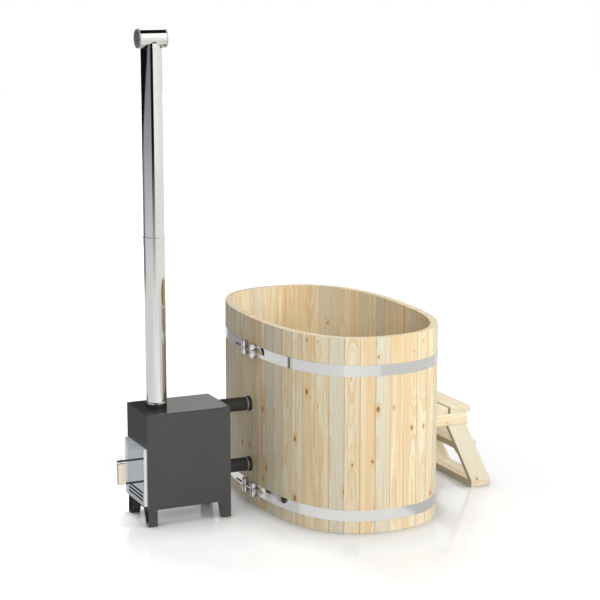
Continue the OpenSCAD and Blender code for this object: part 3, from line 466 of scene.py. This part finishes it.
def copy_of(node, name):
    """A merged copy of a CAD node whose flat faces are joined."""
    piece = bpy.data.objects.new(name, frame["nodes"][node].data.copy())
    bpy.context.scene.collection.objects.link(piece)
    piece.data.materials.clear()
    only(piece)
    bpy.ops.mesh.customdata_custom_splitnormals_clear()
    bpy.ops.object.mode_set(mode="EDIT")
    bpy.ops.mesh.select_all(action="SELECT")
    bpy.ops.mesh.remove_doubles(threshold=same_point)
    bpy.ops.mesh.dissolve_limited(angle_limit=math.radians(flat_angle))
    bpy.ops.object.mode_set(mode="OBJECT")
    return piece


def dressed(node, name, edge, segments, smooth=soft_angle, material=None):
    """A CAD node's own shape, with rounded edges where an edge radius is given, in its place on
    the frame.
    """
    piece = copy_of(node, name)
    if edge:
        round_edges(piece, edge, segments, sharp_angle)
    only(piece)
    bpy.ops.object.shade_smooth_by_angle(angle=math.radians(smooth))
    apply_modifier(piece, "WEIGHTED_NORMAL", weight=50, keep_sharp=True)
    piece.data.materials.append(material or MATERIALS[slot_of[node]])
    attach(piece, body_of[node])
    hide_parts(node)
    return piece


def boards_of(piece):
    """The loose solids of a piece, each as a list of its vertex numbers."""
    links = {vertex.index: [] for vertex in piece.data.vertices}
    for edge in piece.data.edges:
        a, b = edge.vertices
        links[a].append(b)
        links[b].append(a)
    seen = set()
    boards = []
    for start in links:
        if start in seen:
            continue
        board, front = [], [start]
        seen.add(start)
        while front:
            here = front.pop()
            board.append(here)
            for other in links[here]:
                if other not in seen:
                    seen.add(other)
                    front.append(other)
        boards.append(board)
    return boards


pith_across = 0.05          # how far the pith may lie to the side of a board
pith_near, pith_far = 0.02, 0.14
log_length = 40             # boards start anywhere along it, so that no two share their grain
end_facing = 0.8            # a face this much along the board cuts across the grain


def write_grain(piece, axes_of, seed):
    """Writes each board's own coordinates, across, through and along it, its tone, how far
    towards its two sides a point lies, and which faces cut across the grain."""
    draw = random.Random(seed)
    for name, kind in (("grain", "FLOAT_VECTOR"), ("tone", "FLOAT"), ("side", "FLOAT")):
        piece.data.attributes.new(name, kind, "POINT")
    piece.data.attributes.new("end", "FLOAT", "FACE")
    place, tone, side, end = (piece.data.attributes[name].data
                              for name in ("grain", "tone", "side", "end"))
    lengthways = {}
    for board in boards_of(piece):
        points = [piece.data.vertices[i].co.copy() for i in board]
        middle = sum(points, Vector()) / len(points)
        across, through, along = axes_of(middle)
        shift = Vector((draw.uniform(-pith_across, pith_across),
                        draw.uniform(pith_near, pith_far), draw.uniform(0, log_length)))
        board_tone = draw.random()
        half = max(abs((point - middle).dot(across)) for point in points)
        for i, point in zip(board, points):
            local = point - middle
            own = Vector((local.dot(across), local.dot(through), local.dot(along)))
            place[i].vector = own + shift
            tone[i].value = board_tone
            side[i].value = own.x / half
            lengthways[i] = along
    for face in piece.data.polygons:
        facing = abs(face.normal.dot(lengthways[face.vertices[0]]))
        end[face.index].value = float(facing > end_facing)


_, hoop_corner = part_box("lower_hoop")
half_width, half_length = hoop_corner.x, hoop_corner.y
oval_power = 2.5            # the tub's plan lies between an ellipse, which has 2, and a box
flue_low, flue_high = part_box("flue_upper")
flue_middle = (flue_low + flue_high) / 2
flue_radius = (flue_high.x - flue_low.x) / 2


def stave_axes(middle):
    """Across, out of and up a stave that stands at this place of the oval."""
    steep_x = abs(middle.x / half_width) ** (oval_power - 1) / half_width
    steep_y = abs(middle.y / half_length) ** (oval_power - 1) / half_length
    out = Vector((math.copysign(steep_x, middle.x), math.copysign(steep_y, middle.y), 0))
    out.normalize()
    return Z.cross(out), out, Z


def fixed_axes(along, through):
    return lambda middle: (along.cross(through), through, along)


def turned(node, name, place, axis, stations, sides, smooth=soft_angle):
    """A turned piece: a ring drawn out along its axis through stations of distance and radius.
    A last station like the first closes a wall; otherwise both ends are filled."""
    reach, radius = stations[0]
    bpy.ops.mesh.primitive_circle_add(vertices=sides, radius=radius, fill_type="NOTHING",
                                      location=(0, 0, reach))
    piece = bpy.context.object
    piece.name = name
    bpy.ops.object.transform_apply(location=True, rotation=True, scale=True)
    bpy.ops.object.mode_set(mode="EDIT")
    bpy.ops.mesh.select_all(action="SELECT")
    draw_out = bpy.ops.mesh.extrude_edges_move
    if stations[-1] != stations[0]:
        draw_out = bpy.ops.mesh.extrude_region_move
        bpy.ops.mesh.edge_face_add()
        bpy.ops.mesh.select_all(action="SELECT")
    for next_reach, next_radius in stations[1:]:
        draw_out(TRANSFORM_OT_translate={"value": (0, 0, next_reach - reach)})
        grow = next_radius / radius
        bpy.ops.transform.resize(value=(grow, grow, 1), center_override=(0, 0, next_reach))
        reach, radius = next_reach, next_radius
    bpy.ops.mesh.select_all(action="SELECT")
    bpy.ops.mesh.remove_doubles(threshold=same_point)
    bpy.ops.mesh.normals_make_consistent(inside=False)
    bpy.ops.object.mode_set(mode="OBJECT")
    piece.rotation_euler = axis.to_track_quat("Z", "Y").to_euler()
    piece.location = place
    only(piece)
    bpy.ops.object.transform_apply(location=True, rotation=True, scale=True)
    bpy.ops.object.shade_smooth_by_angle(angle=math.radians(smooth))
    piece.data.materials.append(MATERIALS[slot_of[node]])
    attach(piece, body_of[node])
    return piece


def bead(low, height, radius, swell):
    """The stations of a rolled rim: a tube wall that swells outwards in a half round."""
    wall, steps = 0.3 * MM, 8
    outside = [(low + height * turn / steps, radius + swell * math.sin(math.pi * turn / steps))
               for turn in range(steps + 1)]
    inside = [(low + height, radius - wall), (low, radius - wall), outside[0]]
    return outside + inside


def make_rolled_rims():
    """Rims that stiffen the ends of the lower flue section."""
    sunk, sides = 0.2 * MM, 96
    socket_rim, foot_rim, foot_gap = 4.6 * MM, 5.0 * MM, 4 * MM
    middle = Vector((flue_middle.x, flue_middle.y, 0))
    low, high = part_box("flue_lower")
    socket_radius = (high.x - low.x) / 2
    turned("flue_lower", "flue_socket_rim", middle, Z,
           bead(high.z - socket_rim, socket_rim, socket_radius - sunk, swell=1.9 * MM), sides)
    turned("flue_lower", "flue_foot_rim", middle, Z,
           bead(low.z + foot_gap, foot_rim, flue_radius - sunk, swell=1.4 * MM), sides)


def make_tension_bolts():
    """Hexagon bolts with a thread on the end that takes the nut."""
    radius, head, pitch = 7.5 * MM, 10 * MM, 2.5 * MM
    threaded, thread_depth = 118 * MM, 0.9 * MM
    root, crest = 0.45, 0.75    # where they begin, in shares of the pitch
    crest_drop, tip_drop, tip = 0.05 * MM, 1.2 * MM, 2 * MM
    sunk = 0.5 * MM             # the shank starts inside the head
    for node, name in (("upper_tension_bolt", "rim_hoop_bolt"),
                       ("lower_tension_bolt", "foot_hoop_bolt")):
        low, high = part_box(node)
        place = Vector(((low.x + high.x) / 2, low.y, (low.z + high.z) / 2))
        length = high.y - low.y
        head_radius = (high.x - low.x) / 2
        thread_start = length - threaded
        stations = [(head - sunk, radius), (thread_start, radius)]
        for turn in range(int((length - tip - thread_start) / pitch)):
            here = thread_start + turn * pitch
            stations += [(here + root * pitch, radius - thread_depth),
                         (here + crest * pitch, radius - crest_drop),
                         (here + pitch, radius - crest_drop)]
        stations.append((length, radius - tip_drop))
        shank = turned(node, name + "_shank", place, Y, stations, sides=28, smooth=25)
        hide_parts(node)
        chamfer = [(0, 0.6 * head_radius), (0.2 * MM, 0.86 * head_radius),
                   (1.6 * MM, head_radius), (head, head_radius)]
        crown = turned(node, name + "_head", place, Y, chamfer, sides=6, smooth=20)
        round_edges(crown, 0.4 * MM, 2, sharper_than=30)


def make_wooden_pieces():
    """Boards with rounded edges, each with its own grain."""
    leg_width = 0.13        # of a slanted stool leg's level top
    low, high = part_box("stool_front_legs")
    slant = Vector((low.x + leg_width - high.x, 0, high.z - low.z)).normalized()
    # Node, piece, edge radius in mm, axes of its boards, seed of its grain.
    plan = [
        ("staves_left", "left_staves", 1.2, stave_axes, 3),
        ("staves_front", "front_staves", 1.2, stave_axes, 5),
        ("staves_right", "right_staves", 1.2, stave_axes, 8),
        ("staves_back", "back_staves", 1.2, stave_axes, 13),
        ("floor_boards", "floor_planking", 1.5, fixed_axes(X, Z), 21),
        ("floor_bearers", "under_floor_bearers", 2.0, fixed_axes(Y, Z), 34),
        ("bench_slats", "seat_slats", 3.0, fixed_axes(X, Z), 55),
        ("bench_frames", "seat_frames", 2.0, fixed_axes(Z, X), 89),
        ("stool_planks", "stool_top", 2.5, fixed_axes(Y, Z), 144),
        ("stool_rails", "stool_side_rails", 2.5, fixed_axes(X, Y), 233),
        ("stool_front_legs", "stool_slanted_legs", 2.5, fixed_axes(slant, Y), 377),
        ("stool_back_legs", "stool_upright_legs", 2.5, fixed_axes(Z, Y), 610),
        ("stool_tread", "stool_step_board", 2.5, fixed_axes(Y, Z), 987),
        ("stool_cleats", "stool_step_cleats", 1.5, fixed_axes(X, Y), 1597),
        ("stool_foot_board", "stool_ground_board", 2.5, fixed_axes(Y, Z), 2584),
        ("handle_grip", "door_grip", 1.5, fixed_axes(Z, Y), 4181),
    ]
    for node, name, edge, axes_of, seed in plan:
        write_grain(dressed(node, name, edge * MM, segments=3), axes_of, seed)


def make_metal_pieces():
    """Sheet and turned pieces, most with broken or rounded edges; the flue pipes, the cap and its
    mesh are only shaded smooth.
    """
    # Node, piece, edge radius in mm.
    plan = [
        ("upper_hoop", "rim_hoop", 0.3), ("lower_hoop", "foot_hoop", 0.3),
        ("upper_barrels", "rim_hoop_barrels", 0.8), ("lower_barrels", "foot_hoop_barrels", 0.8),
        ("tension_nuts", "hoop_nuts", 0.8),
        ("flue_lower", "lower_flue_pipe", 0.0), ("flue_upper", "upper_flue_pipe", 0.0),
        ("flue_screws", "flue_fixing_screws", 0.8), ("cap_tee", "flue_cap", 0.0),
        ("cap_mesh", "cap_spark_mesh", 0.0),
        ("tub_side_clamps", "tub_hose_clamps", 0.3),
        ("stove_side_clamps", "heater_hose_clamps", 0.3),
        ("stove_casing", "heater_casing", 1.5), ("stove_top_plate", "heater_top", 1.2),
        ("stove_legs", "heater_legs", 1.5), ("flue_collar", "flue_spigot", 0.8),
        ("door_pan", "heater_door", 0.6), ("handle_rods", "door_handle_rods", 1.0),
        ("grip_screw", "door_grip_screw", 0.8), ("door_knuckles", "door_hinge_knuckles", 0.5),
        ("hinge_lugs", "heater_hinge_lugs", 0.5), ("water_stubs", "heater_water_stubs", 0.6),
        ("upper_hose", "hot_water_hose", 1.5), ("lower_hose", "return_hose", 1.5),
        ("upper_wall_fitting", "hot_wall_fitting", 1.2),
        ("lower_wall_fitting", "return_wall_fitting", 1.2),
        ("inlet_guards", "inlet_strainers", 0.5), ("drain_fitting", "drain_flange", 1.0),
        ("drain_plug", "drain_stopper", 0.6),
    ]
    hoop_angle = 12         # the folds at a hoop's ends stay crisp
    for node, name, edge in plan:
        dressed(node, name, edge * MM, segments=2,
                smooth=hoop_angle if node.endswith("_hoop") else soft_angle,
                material=CLAMP_BAND if node == "tub_side_clamps" else None)


def finish_plain_nodes():
    """Nodes whose CAD shape stays get their material."""
    for name, node in frame["nodes"].items():
        material = MATERIALS[slot_of[name]]
        if not node.material_slots:
            node.data.materials.append(material)
        for place in node.material_slots:
            place.material = material


# Studio. What polished pieces mirror stands round the flue, and no other ray sees it.

wall_radius = 4.2
wall_height = 9.0
floor_size = 60
floor_drop = 0.5 * MM       # below the feet, so that no faces coincide


def finish_flag(piece, material, color):
    """Makes a studio piece glow in one color, for the glossy rays alone."""
    tree = material.node_tree
    tree.nodes.remove(tree.nodes["Principled BSDF"])
    shown = put(tree, "Emission", {"Color": color, "Strength": 1.0})
    feed(tree, tree.nodes["Material Output"], {"Surface": shown.outputs[0]})
    piece.data.materials.append(material)
    for ray in ("camera", "diffuse", "transmission", "volume_scatter", "shadow"):
        setattr(piece, "visible_" + ray, False)


def free_air(tree, reach, samples):
    """How little stands near a point of the floor, from zero to one."""
    return put(tree, "AmbientOcclusion", {"Distance": reach}, samples=samples).outputs["AO"]


def make_floor():
    """A white floor that fades into the background and keeps the object's shadow: the lamps' cast
    shadow, with painted shade from ambient occlusion near the object.
    """
    # The middle of a patch of painted light that covers the heater's cast shadow.
    painted_light_middle = (-1.52, 0.47, 0)
    heater_span, painted_light_span, tub_span = (1.45, 2.2), (0.84, 0.36), (1.3, 2.8)
    zone_span, right_span, far_span = (-0.66, -0.30), (0.28, 0.40), (3.0, 4.0)
    contact_span, open_span = (0.40, 0.95), (0.10, 0.42)
    bpy.ops.mesh.primitive_plane_add(size=floor_size, location=(0, 0, -floor_drop))
    floor = bpy.context.object
    floor.name = "floor"
    material, tree, shader = blank_material("studio_floor")
    place = object_place(tree)
    reach = distance(tree, place)
    right = put(tree, "SeparateXYZ", {0: place}).outputs["X"]
    open_air = free_air(tree, 0.36, samples=16)
    close_air = free_air(tree, 0.11, samples=12)

    # Round the object the floor glows little enough to show what it mirrors. It glows less by the
    # tub than by the heater, and more in front of the heater's door: painted light that covers
    # the heater's cast shadow there. Where things stand close the glow drops with the ambient
    # occlusion: painted contact shadow.
    painted_light_reach = distance(tree, place, painted_light_middle)
    by_heater = plus(tree, step(tree, reach, *heater_span, before=0.60, after=0.95),
                     step(tree, painted_light_reach, *painted_light_span, after=0.62))
    by_tub = step(tree, reach, *tub_span, before=0.46, after=0.75)
    tub_zone = step(tree, right, *zone_span)
    seen = plus(tree, times(tree, by_tub, tub_zone),
                times(tree, by_heater, minus(tree, 1.0, tub_zone)))
    seen = times(tree, seen, step(tree, close_air, *contact_span, before=0.30))
    seen = times(tree, seen, open_air)

    # For glossy rays alone the floor glows, a painted reflection: the hoops mirror it darker to
    # the right of the tub and where things stand close, and the flue mirrors it darker far from
    # it.
    painted_reflection_glow = times(tree, step(tree, right, *right_span, before=0.46, after=0.14),
                     step(tree, open_air, *open_span))
    painted_reflection_glow = times(tree, painted_reflection_glow, step(tree, reach, *far_span, before=1.0, after=0.80))
    rays = put(tree, "LightPath")
    strength = plus(tree, times(tree, rays.outputs["Is Glossy Ray"], painted_reflection_glow),
                    times(tree, rays.outputs["Is Camera Ray"], seen))
    feed(tree, shader, {"Base Color": (0.46, 0.46, 0.46), "Roughness": 0.11,
                        "Specular IOR Level": 0.25,
                        "Emission Color": (1, 1, 1), "Emission Strength": strength})
    floor.data.materials.append(material)


def make_world():
    """White to the camera and in reflections, and a soft even fill elsewhere."""
    fill_strength, fill_color = 0.40, (0.97, 0.99, 1)
    world = bpy.data.worlds.new("studio")
    bpy.context.scene.world = world
    world.use_nodes = True
    tree = world.node_tree
    rays = put(tree, "LightPath").outputs
    seen = plus(tree, rays["Is Camera Ray"],
                plus(tree, rays["Is Glossy Ray"], rays["Is Transmission Ray"]), clamp=True)
    strength = ramp(tree, seen, 0.0, 1.0, fill_strength, 1.0)
    color = blend(tree, seen, fill_color, (1, 1, 1))
    feed(tree, tree.nodes["Background"], {"Strength": strength, "Color": color})


def right_of_wall(tree, turn, height):
    """Behind the camera to its right everything is pale, with a dark line and a brighter top."""
    front, side, back = (1.14, 1.12, 1.04), (1.05, 1.03, 0.97), (0.80, 0.79, 0.78)
    low, line, top = (0.99, 0.975, 0.91), (0.24, 0.24, 0.24), (1.4, 1.4, 1.38)
    side_turns, back_turns = (50, 80), (118, 150)
    low_heights, top_heights = (1.75, 1.35), (2.9, 3.1)
    line_heights, line_blur = (2.76, 2.88), 0.03
    color = blend(tree, step(tree, turn, *side_turns), front, side)
    color = blend(tree, step(tree, height, *low_heights), color, low)
    color = blend(tree, step(tree, turn, *back_turns), color, back)
    color = blend(tree, between(tree, height, *line_heights, line_blur), color, line)
    return blend(tree, step(tree, height, *top_heights), color, top)


def left_of_wall(tree, turn, height):
    """To its left lies a lilac haze, and a black flag whose lower edge climbs to the middle."""
    low, high, back, black = (0.88,) * 3, (0.26, 0.26, 0.30), (0.20, 0.20, 0.21), (0.006,) * 3
    haze_heights, back_turns, flag_turns = (0.3, 2.5), (-98, -126), (-38, -46)
    climb, edge_at_middle, edge_blur = 0.00875, 2.83, 0.08      # the climb is per degree
    haze = blend(tree, step(tree, height, *haze_heights), low, high)
    haze = blend(tree, step(tree, turn, *back_turns), haze, back)
    above_edge = minus(tree, height, linear(tree, turn, climb, edge_at_middle))
    flag = times(tree, step(tree, above_edge, -edge_blur, edge_blur),
                 step(tree, turn, *flag_turns))
    return blend(tree, flag, haze, black)


def foot_of_wall(tree, turn, height):
    """Low down the hoops mirror a light grey, a little darker to either side."""
    front, by_floor = (0.93, 0.925, 0.90), (1.03, 1.025, 1.0)
    right, left = (0.82, 0.81, 0.78), (0.83, 0.83, 0.82)
    floor_heights, right_turns, left_turns = (0.45, 0.0), (43, 45), (-10, -35)
    color = blend(tree, step(tree, height, *floor_heights), front, by_floor)
    color = blend(tree, step(tree, turn, *right_turns), color, right)
    return blend(tree, step(tree, turn, *left_turns), color, left)


def make_mirror_wall():
    """A round wall that only polished pieces see: it draws the flue's streaks. Its heights are
    in metres, and its turns in degrees from the camera's side, positive to the camera's right."""
    black, sides = (0.008,) * 3, 96
    middle_turns, turn_blur, middle_heights = (-12, 17), 2, (0.3, 1.8)
    foot_heights, start_heights = (0.75, 0.45), (12 * MM, 4 * MM)
    bpy.ops.mesh.primitive_cylinder_add(
        vertices=sides, radius=wall_radius, depth=wall_height, end_fill_type="NOTHING",
        location=(flue_middle.x, flue_middle.y, wall_height / 2))
    wall = bpy.context.object
    wall.name = "mirror_wall"
    material, tree, _ = blank_material("mirror_wall")
    x, y, z = put(tree, "SeparateXYZ", {0: object_place(tree)}).outputs
    height = plus(tree, z, wall_height / 2)
    facing = math.atan2(camera_place[1] - flue_middle.y, camera_place[0] - flue_middle.x)
    turn = minus(tree, maths(tree, "ARCTAN2", y, x), facing)
    turn = maths(tree, "ARCTAN2", maths(tree, "SINE", turn), maths(tree, "COSINE", turn))
    turn = maths(tree, "DEGREES", turn)

    color = blend(tree, step(tree, turn, 0, 1), left_of_wall(tree, turn, height),
                  right_of_wall(tree, turn, height))
    middle = times(tree, between(tree, turn, *middle_turns, turn_blur),
                   step(tree, height, *middle_heights))
    color = blend(tree, middle, color, black)
    color = blend(tree, step(tree, height, *foot_heights), color,
                  foot_of_wall(tree, turn, height))
    # The floor mirrors plain white: a ray that left the floor started at its height.
    _, _, rise = put(tree, "SeparateXYZ",
                     {0: put(tree, "NewGeometry").outputs["Incoming"]}).outputs
    start = linear(tree, rise, put(tree, "LightPath").outputs["Ray Length"], height)
    color = blend(tree, step(tree, start, *start_heights), color, (1, 1, 1))
    finish_flag(wall, material, color)


def make_mirror_flags():
    """Small flags that only polished and painted faces see: name, place, size, turn, shade."""
    level, upright, edgeways = (0, 0, 0), (math.radians(90), 0, 0), (0, math.radians(90), 0)
    flags = [
        ("mirror_ceiling", (flue_middle.x, flue_middle.y, wall_height),
         (2 * wall_radius, 2 * wall_radius), level, 0.008),
        ("heater_side_flag", (-1.35, 0.16, 0.52), (0.20, 0.31), upright, 0.24),
        # A dark sheet under the heater, seen only in mirrors: painted shade that the heater's
        # legs mirror.
        ("heater_underside_painted_shade", (-1.318, 0.165, 0.002), (0.125, 0.63), level, 0.02),
        ("loop_flag", (-0.66, 0.042, 0.93), (0.10, 0.05), edgeways, 0.01),
        ("hoop_side_flag", (-0.74, 1.05, 0.72), (0.62, 0.26), upright, 0.36),
    ]
    for name, place, size, turn, shade in flags:
        bpy.ops.mesh.primitive_plane_add(size=1, location=place, rotation=turn)
        flag = bpy.context.object
        flag.name = name
        flag.scale = (*size, 1)
        finish_flag(flag, blank_material(name)[0], (shade,) * 3)


def make_lamps():
    """Large soft lamps: name, place, what it points at, size, power."""
    lamp_color = (1, 0.98, 0.94)
    lamps = [
        ("front", (-1.6, -7.3, 3.6), (0, 0, 0.6), (4.0, 3.4), 330),
        ("right", (5.8, -2.8, 3.8), (0, 0, 0.6), (4.0, 3.4), 214),
        ("top", (0.4, 0.2, 6.2), (0, 0, 0), (4.0, 4.0), 30),
    ]
    for name, place, aim, size, power in lamps:
        data = bpy.data.lights.new(name, "AREA")
        data.shape = "RECTANGLE"
        data.size, data.size_y = size
        data.energy = power
        data.color = lamp_color
        lamp = bpy.data.objects.new(name, data)
        lamp.location = place
        lamp.rotation_euler = (Vector(aim) - Vector(place)).to_track_quat("-Z", "Y").to_euler()
        lamp.visible_glossy = False
        bpy.context.scene.collection.objects.link(lamp)


make_camera()
make_wooden_pieces()
make_metal_pieces()
make_rolled_rims()
make_tension_bolts()
finish_plain_nodes()
make_floor()
make_world()
make_lamps()
make_mirror_wall()
make_mirror_flags()
bpy.context.scene.view_settings.view_transform = "Standard"
